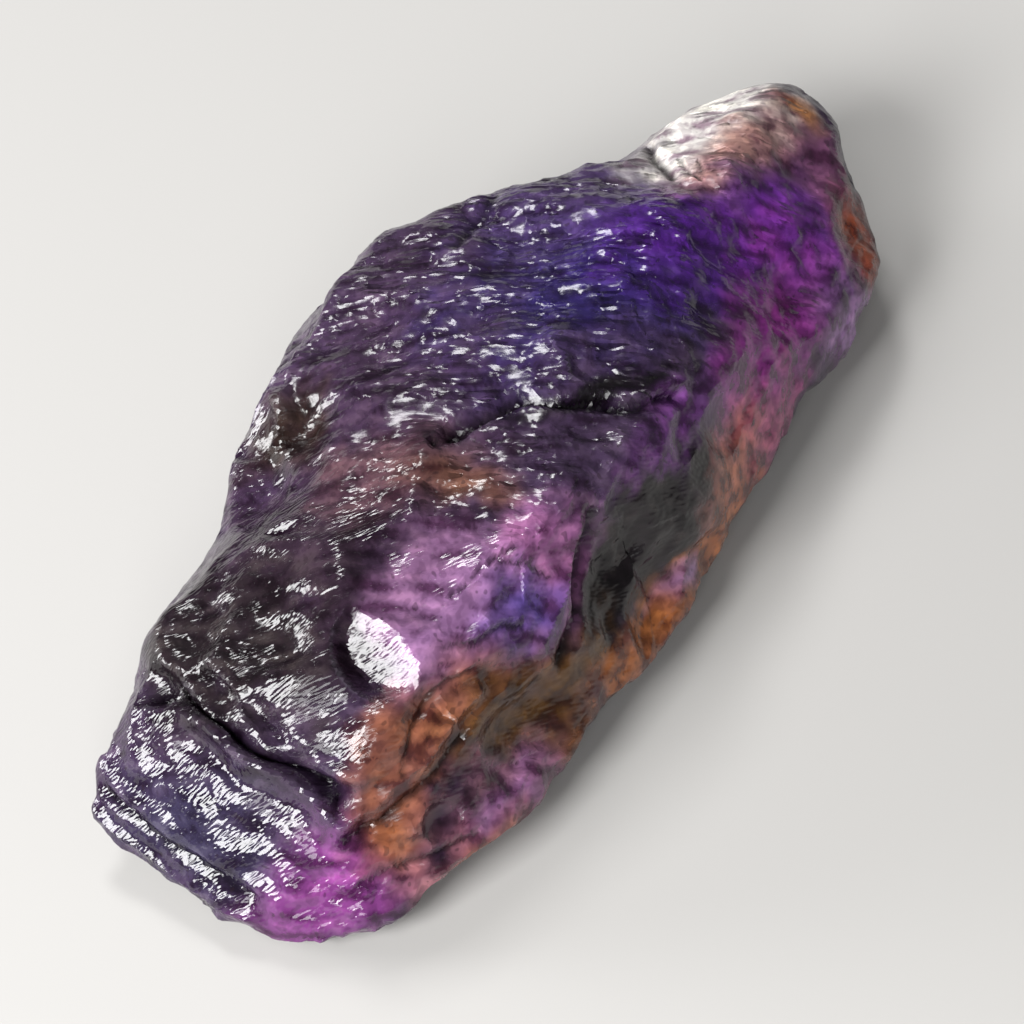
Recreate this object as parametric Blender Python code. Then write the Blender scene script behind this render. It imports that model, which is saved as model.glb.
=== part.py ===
"""A rough ametrine, a broken lump of purple and orange quartz, as one closed solid.

The stone lies along +X on the flat of its underside, which is at z = 0. Its crest runs along the -Y side:
from there the broad frosted face slopes down to +Y, and the glassy flank drops to -Y. The stepped end break
faces -X. Sizes in the tables are in millimetres and angles in degrees.

It is made as the stone was: a blank is lofted through its cross-sections, the large flakes are cut out of
it, the broken surface is raised on what is left, and the underside is cut flat.
"""

import math
from typing import NamedTuple

import bmesh
import bpy
from mathutils import Matrix, Vector, noise

MM = 0.001
BLANK_VOXEL = 0.34
SURFACE_VOXEL = 0.27
TRIANGLES = 9000
GROUND_SIZE = 200.0
RELIEF_LIFT = 0.45

# A cutter's middle stands this share of its height above the scar's rim, so that the rim is shallow.
RIM = 0.55

# Where the parts of the surface begin and end: along X for the end break and the cap, and by the share of
# the normal that faces outwards for the others. Each calms the relief by its own share.
END_SPAN = (20.5, 23.0)
CAP_SPAN = (15.0, 22.0)
TOP_FACING = (0.25, 0.7)
FLANK_FACING = (0.35, 0.75)
FLANK_UPWARD = (-0.3, 0.2)
UNDER_FACING = (0.2, 0.6)
FLANK_CALM = 0.62
CAP_CALM = 0.35
UNDER_CALM = 0.3
END_BROAD_CALM = 0.6
CAP_GROOVE_CALM = 0.6

# The grooves follow the direction in which the quartz splits most easily.
WEAKNESS = Vector((0.566, -0.824, 0.0))
GROOVE_SPACING = 2.0
GROOVE_STRETCH = 0.82
GROOVE_WAVER = 0.9
GROOVE_WAVE = 5.0
GROOVE_DEPTH = 0.36
GROOVE_SEED = Vector((5.0, 1.0, 8.0))

# The ledges drop down the end break.
LEDGE_FALL = Vector((-0.72, 0.14, -0.68))
LEDGE_WIDTH = 1.7
LEDGE_RISE = 0.42
LEDGE_WAVER = 1.2
LEDGE_WAVE = 3.4

# A small scar is a bowl that rises this fast from its middle, and no deeper than this under it.
BOWL_RISE = 1.9
BOWL_FLOOR = -0.3
WANDER_OFFSETS = (Vector((9.3, -1.5, -7.9)), Vector((0.0, 0.0, 0.0)), Vector((6.3, 11.2, -8.1)))

PURPLE = (0.22, 0.09, 0.3, 1.0)
ROUGHNESS = 0.25
QUARTZ_IOR = 1.544


class Section(NamedTuple):
    """The outline of the stone where it is cut across at x. Each point is (y, z)."""

    x: float
    sole_right: tuple
    toe: tuple
    flank: tuple
    crest: tuple
    crown: tuple
    slope: tuple
    brow: tuple
    belly: tuple
    sole_left: tuple


class Scar(NamedTuple):
    """Where a flake has come off: the middle of the hollow, the way it faces (azimuth and elevation), its
    size, and how far its length is turned from level."""

    name: str
    centre: tuple
    facing: tuple
    length: float
    width: float
    depth: float
    roll: float = 0.0


class Chips(NamedTuple):
    """A layer of small flake scars: how far apart they are, how deep they go and how far they lean."""

    spacing: float
    depth: float
    lean: float
    seed: float


SECTIONS = (
    Section(-25.8, (-4.6, 0.5), (-6.2, 1.0), (-5.9, 1.7), (-5.2, 2.3),
            (-1.0, 2.6), (1.5, 3.0), (3.8, 3.3), (5.2, 3.0), (4.2, 1.0)),
    Section(-22.6, (-7.6, 0.2), (-9.6, 1.8), (-7.7, 5.1), (-6.1, 7.1),
            (-1.5, 8.5), (1.5, 8.8), (4.9, 7.7), (6.6, 4.8), (5.0, 0.6)),
    Section(-19.0, (-8.2, -0.2), (-10.3, 2.0), (-7.5, 6.5), (-5.8, 9.3),
            (-1.5, 10.6), (2.5, 10.3), (6.0, 8.6), (7.5, 5.2), (5.4, 0.2)),
    Section(-14.0, (-8.6, -0.4), (-10.9, 2.0), (-7.5, 7.8), (-5.3, 11.2),
            (-1.0, 11.8), (3.5, 10.8), (6.6, 8.6), (8.2, 5.4), (6.2, -0.2)),
    Section(-9.0, (-8.4, -0.6), (-10.5, 2.0), (-8.4, 7.4), (-5.6, 12.1),
            (-1.0, 12.6), (4.5, 11.2), (8.2, 9.0), (10.0, 5.8), (7.2, -0.5)),
    Section(-4.0, (-8.6, -0.6), (-10.9, 2.0), (-9.2, 6.8), (-6.2, 12.0),
            (-1.0, 12.9), (5.5, 11.4), (9.9, 9.5), (12.0, 6.0), (8.2, -0.6)),
    Section(1.0, (-8.4, -0.4), (-10.7, 2.0), (-9.4, 6.4), (-7.0, 11.3),
            (-1.2, 12.7), (5.8, 11.4), (10.7, 9.6), (12.7, 6.0), (8.6, -0.4)),
    Section(6.0, (-7.4, -0.4), (-9.4, 2.0), (-8.6, 5.8), (-7.0, 10.2),
            (-1.5, 12.2), (5.8, 11.2), (10.9, 9.6), (13.0, 6.2), (8.6, 0.2)),
    Section(11.0, (-7.0, 0.4), (-9.0, 2.0), (-8.4, 5.2), (-6.4, 9.0),
            (-1.5, 11.4), (3.6, 10.8), (7.6, 9.1), (10.1, 6.0), (6.6, 1.2)),
    Section(16.0, (-6.0, 1.0), (-8.2, 2.4), (-7.6, 5.0), (-5.6, 8.0),
            (-1.2, 10.4), (2.0, 10.0), (4.2, 8.8), (6.2, 6.0), (4.2, 2.0)),
    Section(20.5, (-5.2, 2.2), (-7.4, 3.4), (-6.9, 5.2), (-4.8, 7.4),
            (-0.8, 9.2), (1.0, 9.4), (2.7, 8.7), (4.5, 6.2), (2.6, 3.2)),
    Section(23.6, (-3.2, 3.4), (-4.8, 4.2), (-4.4, 5.4), (-3.0, 6.8),
            (-0.5, 8.2), (1.0, 8.8), (2.5, 8.2), (3.8, 6.4), (1.8, 4.2)),
    Section(25.2, (-0.9, 4.8), (-2.0, 5.4), (-1.7, 5.9), (-0.9, 6.6),
            (0.1, 7.1), (0.9, 7.4), (1.8, 7.1), (2.4, 6.2), (1.2, 5.4)),
)

SCARS = (
    Scar("black_hollow", (-4.9, -9.0, 7.0), (-82, 32), 6.6, 7.6, 1.25, 14),
    Scar("black_hollow_foot", (-2.7, -10.1, 4.6), (-84, 20), 6.4, 4.6, 0.95, 24),
    Scar("brown_hollow", (-12.4, -9.2, 5.2), (-98, 26), 7.4, 4.8, 1.1, -10),
    Scar("flank_shell", (-14.2, -7.2, 8.4), (-104, 34), 7.0, 4.0, 0.6, -18),
    Scar("low_pit", (-19.8, -8.9, 4.0), (-101, 30), 2.6, 2.0, 0.5, 30),
    Scar("upper_pit", (-17.4, -9.0, 4.6), (-97, 30), 2.2, 1.8, 0.45, -20),
    Scar("toe_pit", (-20.6, -9.9, 2.2), (-101, 24), 2.4, 1.6, 0.4, 0),
    Scar("orange_shell", (1.4, -10.4, 3.2), (-86, 16), 6.0, 3.6, 0.6, 8),
    Scar("glow_shell", (13.6, -6.6, 7.4), (-64, 45), 8.0, 5.0, 0.6, -24),
    Scar("nose_shell", (20.6, -6.2, 5.6), (-62, 30), 5.4, 4.4, 0.7, 10),
    Scar("tip_shell", (23.6, -3.4, 5.8), (-40, 10), 4.0, 3.6, 0.5, 0),
    Scar("crest_bite", (3.6, -7.2, 10.2), (-72, 52), 5.0, 2.8, 0.5, -14),
    Scar("window", (-7.0, -1.9, 12.7), (-119, 83), 4.6, 2.6, 0.55, 40),
    Scar("left_hollow", (-6.5, 7.4, 9.9), (116, 62), 3.4, 2.6, 0.8, 10),
    Scar("left_shell", (-10.4, 7.0, 8.8), (118, 52), 5.0, 3.4, 0.7, 0),
    Scar("brow_notch", (8.0, 7.0, 10.3), (55, 56), 4.6, 1.6, 0.5, -62),
    Scar("bright_chip", (2.0, -3.1, 12.2), (-70, 76), 3.2, 2.4, 0.4, 30),
    Scar("groove_near", (-4.8, -0.4, 12.7), (180, 76), 3.6, 2.0, 0.6, 0),
    Scar("groove_mid", (-3.0, -2.9, 12.6), (-150, 74), 3.4, 2.2, 0.6, 10),
    Scar("groove_far", (-0.6, -5.0, 12.0), (-140, 66), 4.0, 2.0, 0.6, -6),
    Scar("ledge_left", (-21.2, 2.2, 9.6), (158, 72), 6.0, 1.8, 1.2, 4),
    Scar("ledge_mid", (-21.5, -1.6, 9.7), (170, 78), 6.0, 1.8, 1.2, -4),
    Scar("ledge_right", (-21.0, -5.0, 9.0), (-170, 70), 4.6, 1.8, 1.1, 8),
    Scar("bright_flat", (-16.4, -3.9, 10.9), (-146, 62), 4.2, 3.2, 0.35, -10),
    Scar("dark_flat", (-18.0, 0.8, 10.6), (172, 70), 4.6, 3.2, 0.55, 16),
    Scar("brow_flat", (-17.6, 5.0, 9.3), (132, 56), 5.0, 3.4, 0.5, -8),
    Scar("slot", (-21.4, 4.8, 8.2), (140, 60), 3.2, 1.2, 0.7, 0),
    Scar("end_flat", (-23.6, 0.6, 7.0), (178, 46), 4.6, 2.8, 0.45, 0),
    Scar("end_step", (-25.0, -2.4, 4.8), (-176, 36), 7.0, 2.6, 0.5, 6),
    Scar("end_corner", (-24.6, 4.6, 4.8), (150, 40), 3.6, 2.4, 0.35, 0),
    Scar("cap_notch", (16.8, 2.9, 9.6), (72, 62), 2.6, 1.5, 0.5, 64),
    Scar("back_bay", (-10.6, 8.9, 3.6), (95, 6), 9.0, 5.4, 1.1, 6),
    Scar("back_shell", (4.4, 12.0, 4.2), (92, -6), 8.4, 5.6, 1.2, -8),
    Scar("back_heel", (13.4, 7.2, 3.2), (76, -14), 7.6, 4.4, 1.0, 12),
    Scar("back_end", (-20.4, 6.0, 3.0), (108, 4), 5.6, 4.2, 0.8, 0),
    Scar("under_nose", (17.6, -2.0, 1.6), (-20, -66), 8.0, 5.6, 0.9, 20),
    Scar("under_flank", (8.6, -6.6, 0.6), (-60, -56), 6.6, 4.0, 0.8, 0),
    Scar("under_hollow", (-8.6, 2.6, -0.5), (60, -86), 9.0, 5.0, 1.1, 24),
    Scar("under_heel", (-18.6, -3.6, -0.4), (-140, -82), 6.0, 4.4, 0.9, -30),
)

BROAD_CHIPS = Chips(6.4, 0.62, 0.4, 3.0)
CHIPS = Chips(3.4, 0.36, 0.48, 11.0)
END_CHIPS = Chips(2.3, 0.3, 0.64, 23.0)


def clear_scene():
    """Removes whatever the file held."""
    for thing in list(bpy.data.objects):
        bpy.data.objects.remove(thing)


def object_of(mesh, name):
    """Links a mesh to the scene under a name."""
    made = bpy.data.objects.new(name, mesh)
    bpy.context.scene.collection.objects.link(made)
    return made


def loft_blank():
    """The stone before any flake comes off: its sections joined by flat quads, with a cap at each end."""
    mesh = bpy.data.meshes.new("blank")
    bm = bmesh.new()
    rings = [[bm.verts.new(Vector((s.x, *point)) * MM) for point in s[1:]] for s in SECTIONS]
    for ring, after in zip(rings, rings[1:]):
        for i, corner in enumerate(ring):
            j = (i + 1) % len(ring)
            bm.faces.new((corner, ring[j], after[j], after[i]))
    bm.faces.new(rings[0])
    bm.faces.new(reversed(rings[-1]))
    bmesh.ops.triangulate(bm, faces=bm.faces)
    bmesh.ops.recalc_face_normals(bm, faces=bm.faces)
    bm.to_mesh(mesh)
    bm.free()
    return object_of(mesh, "ametrine")


def direction(azimuth, elevation):
    """The unit vector that points along an azimuth and an elevation."""
    turn = math.radians(azimuth)
    rise = math.radians(elevation)
    return Vector((math.cos(turn) * math.cos(rise), math.sin(turn) * math.cos(rise), math.sin(rise)))


def as_cutter(thing):
    """Marks an object as one that only cuts."""
    thing.hide_render = True
    thing.display_type = "WIRE"
    return thing


def scar_cutter(scar):
    """An ellipsoid that dips into the stone to the scar's depth and opens as wide as the scar is."""
    out = direction(*scar.facing)
    level = Vector((0.0, 0.0, 1.0)).cross(out).normalized()
    facing = Matrix((level, out.cross(level), out)).transposed()
    turned = facing @ Matrix.Rotation(math.radians(scar.roll), 3, "Z")
    deep = scar.depth / (1.0 - RIM)
    spread = 1.0 / math.sqrt(1.0 - RIM * RIM)
    half = Matrix.Diagonal((scar.length / 2 * spread, scar.width / 2 * spread, deep))
    middle = Vector(scar.centre) + out * deep * RIM
    mesh = bpy.data.meshes.new(scar.name)
    bm = bmesh.new()
    bmesh.ops.create_icosphere(bm, subdivisions=3, radius=1.0)
    placed = Matrix.Translation(middle * MM) @ (turned @ half * MM).to_4x4()
    bmesh.ops.transform(bm, matrix=placed, verts=bm.verts)
    bm.to_mesh(mesh)
    bm.free()
    return as_cutter(object_of(mesh, scar.name))


def bake(thing):
    """Makes an object's modifiers part of its mesh."""
    seen = thing.evaluated_get(bpy.context.evaluated_depsgraph_get())
    baked = bpy.data.meshes.new_from_object(seen)
    baked.calc_loop_triangles()
    thing.modifiers.clear()
    thing.data = baked


def even_out(stone, voxel):
    """Turns the stone's mesh into an even one, closed and without folds."""
    even = stone.modifiers.new("even", "REMESH")
    even.mode = "VOXEL"
    even.voxel_size = voxel * MM
    bake(stone)


def cut_away(stone, cutters):
    """Takes the shapes of some cutters out of the stone, and the cutters out of the scene."""
    for cutter in cutters:
        cut = stone.modifiers.new(cutter.name, "BOOLEAN")
        cut.operation = "DIFFERENCE"
        cut.object = cutter
    bake(stone)
    for cutter in cutters:
        bpy.data.objects.remove(cutter)


def ramp(value, low, high):
    """A smooth step from 0 at low to 1 at high."""
    share = min(max((value - low) / (high - low), 0.0), 1.0)
    return share * share * (3.0 - 2.0 * share)


def wander(point):
    """A smooth random vector at a point, the same in every run."""
    return Vector([noise.noise(point + offset) for offset in WANDER_OFFSETS])


def chipped(point, chips):
    """How far the surface lies below its highest, where bowls of one spacing have bitten into each other."""
    spot = point / chips.spacing + Vector((chips.seed, chips.seed, chips.seed))
    distances, centres = noise.voronoi(spot)
    lowest = 1.0
    for distance, centre in zip(distances, centres):
        tilt = wander(centre) * chips.lean
        lowest = min(lowest, distance * distance * BOWL_RISE + tilt.dot(spot - centre))
    return chips.depth * (1.0 - max(lowest, BOWL_FLOOR))


def grooved(point):
    """Long ridges along the quartz's weakness, 0 to 1 tall."""
    squeezed = point - WEAKNESS * WEAKNESS.dot(point) * GROOVE_STRETCH
    warped = squeezed + wander(point / GROOVE_WAVE) * GROOVE_WAVER
    ridge = 1.0 - abs(noise.noise(warped / GROOVE_SPACING + GROOVE_SEED)) * 2.0
    return ridge * ridge


def stepped(point):
    """The small ledges that cross the end break, from 0 at the foot of one to 1 at its lip."""
    spot = LEDGE_FALL.dot(point) / LEDGE_WIDTH + noise.noise(point / LEDGE_WAVE) * LEDGE_WAVER
    return spot - math.floor(spot)


def relief(point, normal):
    """How far the broken surface stands out of the smooth stone at a point, in mm."""
    end = ramp(-point.x, *END_SPAN)
    cap = ramp(point.x, *CAP_SPAN)
    top = ramp(normal.z, *TOP_FACING) * (1.0 - end)
    flank = ramp(-normal.y, *FLANK_FACING) * ramp(normal.z, *FLANK_UPWARD) * (1.0 - end)
    under = ramp(-normal.z, *UNDER_FACING)
    rough = 1.0 - FLANK_CALM * flank - CAP_CALM * cap * (1.0 - flank) - UNDER_CALM * under
    stands = -chipped(point, BROAD_CHIPS) * (1.0 + rough) / 2.0 * (1.0 - END_BROAD_CALM * end)
    stands -= chipped(point, CHIPS) * rough
    stands -= (chipped(point, END_CHIPS) + stepped(point) * LEDGE_RISE) * end
    stands += (grooved(point) - 0.5) * GROOVE_DEPTH * top * (1.0 - CAP_GROOVE_CALM * cap)
    return stands + RELIEF_LIFT


def break_surface(stone):
    """Moves every point of the even mesh along its normal by the relief there."""
    bm = bmesh.new()
    bm.from_mesh(stone.data)
    bm.normal_update()
    moves = [vertex.normal * relief(vertex.co / MM, vertex.normal) * MM for vertex in bm.verts]
    for vertex, move in zip(bm.verts, moves):
        vertex.co += move
    bm.to_mesh(stone.data)
    bm.free()


def thin_out(stone):
    """Keeps the triangles that the shape needs."""
    fewer = stone.modifiers.new("fewer", "DECIMATE")
    fewer.ratio = TRIANGLES / len(stone.data.loop_triangles)
    bake(stone)


def cut_sole(stone):
    """Cuts the underside off flat at z = 0, the face that the stone rests on."""
    mesh = bpy.data.meshes.new("ground")
    bm = bmesh.new()
    below = Matrix.Translation((0.0, 0.0, -GROUND_SIZE * MM / 2))
    bmesh.ops.create_cube(bm, size=GROUND_SIZE * MM, matrix=below)
    bm.to_mesh(mesh)
    bm.free()
    ground = as_cutter(object_of(mesh, "ground"))
    cut_away(stone, [ground])


def centre(stone):
    """Sets the middle of the stone's box over the origin."""
    corners = [vertex.co for vertex in stone.data.vertices]
    middle = [(min(c[axis] for c in corners) + max(c[axis] for c in corners)) / 2 for axis in (0, 1)]
    stone.data.transform(Matrix.Translation((-middle[0], -middle[1], 0.0)))


def finish(stone):
    """Gives the stone its purple quartz and shades its broken faces flat."""
    quartz = bpy.data.materials.new("ametrine")
    quartz.use_nodes = True
    shader = quartz.node_tree.nodes["Principled BSDF"]
    shader.inputs["Base Color"].default_value = PURPLE
    shader.inputs["Roughness"].default_value = ROUGHNESS
    shader.inputs["IOR"].default_value = QUARTZ_IOR
    stone.data.materials.append(quartz)
    stone.data.shade_flat()


def main():
    """Makes the stone from blank to finish."""
    clear_scene()
    stone = loft_blank()
    cut_away(stone, [scar_cutter(scar) for scar in SCARS])
    even_out(stone, BLANK_VOXEL)
    break_surface(stone)
    even_out(stone, SURFACE_VOXEL)
    thin_out(stone)
    cut_sole(stone)
    centre(stone)
    finish(stone)


main()
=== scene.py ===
"""The looks of a rough ametrine, a broken lump of purple and orange quartz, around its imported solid.

The stone is copied from its solid, meshed finely, struck with flake scars from large to small and cut by
seams. It is dressed in one see-through quartz, whose colours are clouds, streaks and specks in its own frame.
Sizes and places in the tables are in millimetres in the stone's frame: +X runs to the milky tip, +Y to the
frosted slope and +Z up.
"""

import logging
import math
from dataclasses import dataclass
from enum import Enum

import bpy
import numpy as np
from bpy.types import Material, Mesh, NodeSocket, Object
from mathutils import Euler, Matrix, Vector, noise


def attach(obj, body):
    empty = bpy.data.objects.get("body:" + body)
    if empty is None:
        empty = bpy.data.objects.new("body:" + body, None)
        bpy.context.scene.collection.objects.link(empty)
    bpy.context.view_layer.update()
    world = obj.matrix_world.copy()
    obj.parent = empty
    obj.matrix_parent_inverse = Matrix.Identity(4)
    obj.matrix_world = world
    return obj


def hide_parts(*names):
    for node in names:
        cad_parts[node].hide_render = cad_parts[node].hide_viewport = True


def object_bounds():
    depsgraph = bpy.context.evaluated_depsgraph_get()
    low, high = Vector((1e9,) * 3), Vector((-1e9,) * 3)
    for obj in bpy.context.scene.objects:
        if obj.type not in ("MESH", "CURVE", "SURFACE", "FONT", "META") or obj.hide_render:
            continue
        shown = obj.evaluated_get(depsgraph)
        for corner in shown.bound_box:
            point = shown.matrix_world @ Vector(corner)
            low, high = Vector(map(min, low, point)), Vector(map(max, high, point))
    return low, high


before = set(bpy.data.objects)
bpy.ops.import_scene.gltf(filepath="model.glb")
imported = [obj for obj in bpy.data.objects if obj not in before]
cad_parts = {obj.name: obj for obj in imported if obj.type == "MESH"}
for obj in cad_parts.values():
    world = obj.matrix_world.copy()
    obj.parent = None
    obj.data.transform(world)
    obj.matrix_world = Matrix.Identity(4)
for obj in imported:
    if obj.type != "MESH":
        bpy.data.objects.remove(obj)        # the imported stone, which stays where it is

CAD_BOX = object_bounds()
NODE = "ametrine"
MM = 0.001

# Lengths that count as nothing, and a distance that is out of every reach.
TINY = 1e-9
STILL = 1e-6
FAR_OFF = 1e9

Point = tuple[float, float, float]
Colour = tuple[float, float, float]

log = logging.getLogger("ametrine")


class Zone(Enum):
    """The parts of the stone's surface that broke in their own ways."""

    END = "stepped_end"
    NEAR = "hackly_top"
    TOP = "frosted_top"
    FLANK = "glassy_flank"
    CAP = "milky_tip"
    BACK = "far_side"
    SOLE = "flat_sole"


@dataclass(frozen=True)
class Strikes:
    """A layer of flake scars, each a shallow bowl, struck at random.

    Attributes:
        count: How many scars there are.
        curve: The least and the greatest radius of a bowl.
        depth: The least and the greatest depth of a bowl below the surface.
        lean: How far a bowl may lean from the surface, in degrees.
        stretch: How many times longer than wide a bowl is, along the way the quartz splits.
        seed: The seed of the random draws.
        shares: How readily each zone is struck. A zone that isn't named isn't struck.
        glint: The share of the bowls that lie along the split which faces the left.
    """

    count: int
    curve: tuple[float, float]
    depth: tuple[float, float]
    lean: float
    stretch: float
    seed: int
    shares: dict[Zone, float]
    glint: float = 0.0


@dataclass(frozen=True)
class Flake:
    """One scar that shows in its own right: a bowl, or with a great curve a flat facet.

    Attributes:
        name: What it is.
        centre: The place that is struck.
        facing: The azimuth and the elevation that it opens towards, in degrees.
        reach: How far from its centre it may cut.
        depth: How deep it goes.
        curve: Its radius.
        stretch: How many times longer than wide it is.
    """

    name: str
    centre: Point
    facing: tuple[float, float]
    reach: float
    depth: float
    curve: float
    stretch: float = 1.0


@dataclass(frozen=True)
class Seam:
    """A line on the stone that is cut in, or raised where its depth is negative.

    Attributes:
        name: What it is.
        points: The places it runs through.
        width: How far its sides reach.
        depth: How deep it is.
    """

    name: str
    points: tuple[Point, ...]
    width: float
    depth: float


@dataclass(frozen=True)
class Bulge:
    """A place where the skin stands a little further out than the solid's, or further in.

    Attributes:
        name: What it is.
        centre: Its middle.
        reach: How far from there it is felt.
        push: How far it moves the skin at its middle.
    """

    name: str
    centre: Point
    reach: float
    push: Point


@dataclass(frozen=True)
class Cloud:
    """A patch of colour in the quartz, an ellipsoid with a soft and ragged edge.

    Attributes:
        name: What it is.
        centre: Its middle.
        radii: Its radii along X, Y and Z before it is turned.
        colour: Its colour.
        turn: Its turn about X, Y and Z in degrees.
        strength: How far it covers what is under it.
        milk: How milky the quartz is there: 0 is clear and 1 lets no light through.
        heart: The share of its radii where its edge starts.
    """

    name: str
    centre: Point
    radii: Point
    colour: Colour
    turn: Point = (0.0, 0.0, 0.0)
    strength: float = 1.0
    milk: float = 0.45
    heart: float = 0.25


def direction(azimuth: float, elevation: float) -> np.ndarray:
    """Gives the unit vector that points along an azimuth and an elevation in degrees.

    Args:
        azimuth: The turn from +X towards +Y.
        elevation: The rise from level.

    Returns:
        The vector.
    """
    turn = math.radians(azimuth)
    rise = math.radians(elevation)
    level = math.cos(rise)
    return np.array((math.cos(turn) * level, math.sin(turn) * level, math.sin(rise)))


def smooth_step(values: np.ndarray, low: float, high: float) -> np.ndarray:
    """Rises smoothly from 0 at low to 1 at high.

    Args:
        values: The numbers to shape.
        low: Where the rise starts.
        high: Where it ends.

    Returns:
        The shaped numbers.
    """
    share = np.clip((values - low) / (high - low), 0.0, 1.0)
    return share * share * (3.0 - 2.0 * share)


def unit(vectors: np.ndarray) -> np.ndarray:
    """Scales vectors to a length of 1."""
    return vectors / np.maximum(np.linalg.norm(vectors, axis=-1, keepdims=True), TINY)


# The ways that the stone splits, that the flank's bowls run and that its glints face. A bowl can take the
# last where the skin faces it by more than GLINT_NEAR, and then it swings less.
SPLIT = unit(np.array((0.566, -0.824, 0.0)))
FLANK_FLOW = unit(np.array((0.90, -0.30, 0.30)))
UPWARD = 0.5
GLINT_FACING = unit(np.array((-0.70, -0.12, 0.71)))
GLINT_NEAR = 0.45
GLINT_STEADY = 0.4

# The mesh, and how far it may pass the solid's box along X and Y.
VOXEL = 0.197
MERGE_GAP = 0.02
NORMAL_SMOOTHING = 6
COPY_CALM = 0.5
LAST_CALM = 0.15
SHARP_EDGE = 16.0
BOX_SPARE = 0.25

# Where each zone starts and is whole: along X, by how far the skin faces a way, or by its level.
END_SPAN = (20.6, 22.2)
END_UPWARD = (-0.5, 0.0)
CAP_SPAN = (14.0, 17.5)
CAP_FACING = (-0.75, -0.2)
FLANK_FACING = (0.35, 0.7)
FLANK_UPWARD = (-0.3, 0.1)
TOP_UPWARD = (0.2, 0.5)
NEAR_SPAN = (4.0, 12.0)
SOLE_DOWNWARD = (0.8, 0.95)
SOLE_LEVEL = (-0.5, -0.2)

# Scars. DEEPEST_CUT and REACH_SPARE are shares of a bowl's depth and reach, FADE is how fast it fades at its
# edge, SWING how widely it leans and FOOT the height that scars start at. A named scar is a clean break where
# it cuts deeper than POLISHED_CUT. SWELL moves the skin out first, and the limits hold the scars back.
DEEPEST_CUT = 2.0
REACH_SPARE = 1.25
FADE = 3.0
SWING = 0.6
FOOT = 0.25
POLISHED_CUT = 0.02
SWELL = 0.20
FORM_LIMIT = 0.5
SCAR_LIMIT = 1.1

# Seams: how hollow their sides are and how far above and below their line they reach.
SEAM_SHARPNESS = 1.3
SEAM_HEIGHT = 1.4
# The painted shade along a cut seam: where across it the shade starts and is whole, and how dark it is.
PAINTED_SHADE_EDGE = (0.2, 0.9)
PAINTED_SEAM_SHADE = 0.7

# The noise that bends and frays the clouds and sways the planks. Scales are in waves to a millimetre, and
# FRAY and FINER hold a scale, a shift and a height.
BROAD_WAVES = 0.16
BROAD_SHIFTS = (3.1, 17.7, 41.3)
FINE_WAVES = 0.8
FINE_SHIFTS = (7.9, 23.3, 57.1)
BEND = (2.2, 0.6)
SWAY = (1.6, 0.5)
FRAY = ((0.5, 91.7, 0.30), (1.5, 12.9, 0.20))
FINER = (2.3, 9.1, 0.5)
CLOUD_END = 1.5
PATCH_WAVES = 0.55
PATCH_SHIFT = 28.4

# The pale streaks along the split, and the dark shade between them.
STREAK = (2.2, 0.55, 0.8)
STREAK_TURN = -55.5
STREAK_SHIFT = 66.1
STREAK_SPAN = (0.10, 0.55)
STREAK_COLOUR = (0.55, 0.55, 0.45)
STREAK_HAZE = 0.02
SHADE_SPAN = (0.05, 0.50)
SHADE_COLOUR = (0.38, 0.28, 0.36)

# How strongly each zone is frosted, split into planks and scratched.
FROSTED = {Zone.TOP: 0.10, Zone.NEAR: 0.05, Zone.FLANK: 0.16, Zone.CAP: 0.26, Zone.SOLE: 0.2}
PLANKED = {Zone.TOP: 1.0, Zone.CAP: 0.9, Zone.NEAR: 0.3}
SCRATCHED = {Zone.NEAR: 1.0, Zone.END: 1.0, Zone.BACK: 1.0, Zone.FLANK: 0.7}

FLOOR_DROP = 0.02
WHITE = (1.0, 1.0, 1.0)

FORM_STRIKES = (
    Strikes(56, (12.0, 40.0), (0.08, 0.20), 20.0, 1.2, 3, {Zone.END: 0.8, Zone.NEAR: 1.5, Zone.BACK: 0.6}),
    Strikes(300, (3.0, 12.0), (0.08, 0.22), 26.0, 1.2, 7,
            {Zone.END: 2.0, Zone.NEAR: 2.4, Zone.TOP: 0.12, Zone.FLANK: 0.10, Zone.BACK: 0.8, Zone.CAP: 0.1},
            glint=0.2),
)
FINE_STRIKES = (
    Strikes(620, (12.0, 60.0), (0.04, 0.13), 26.0, 1.2, 11,
            {Zone.END: 2.4, Zone.NEAR: 2.2, Zone.TOP: 0.25, Zone.FLANK: 0.06, Zone.BACK: 0.8,
             Zone.CAP: 0.15}, glint=0.35),
    Strikes(420, (2.5, 6.0), (0.02, 0.07), 14.0, 3.5, 13,
            {Zone.TOP: 1.0, Zone.NEAR: 0.1, Zone.CAP: 0.2}, glint=0.12),
    Strikes(2200, (2.0, 12.0), (0.015, 0.06), 26.0, 1.3, 19,
            {Zone.END: 1.6, Zone.NEAR: 1.6, Zone.TOP: 0.4, Zone.FLANK: 0.03, Zone.BACK: 0.5, Zone.CAP: 0.1},
            glint=0.55),
    Strikes(1500, (1.0, 3.0), (0.012, 0.03), 16.0, 3.0, 29,
            {Zone.TOP: 1.0, Zone.NEAR: 0.15, Zone.CAP: 0.15}, glint=0.15),
    Strikes(3000, (0.8, 2.6), (0.02, 0.06), 30.0, 1.3, 43,
            {Zone.NEAR: 1.0, Zone.TOP: 0.3, Zone.END: 0.35, Zone.BACK: 0.25}, glint=0.45),
    Strikes(120, (5.0, 15.0), (0.03, 0.08), 10.0, 1.6, 31, {Zone.FLANK: 1.0}),
    Strikes(260, (1.4, 4.0), (0.02, 0.05), 5.0, 1.4, 37, {Zone.SOLE: 1.0}),
)

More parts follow.
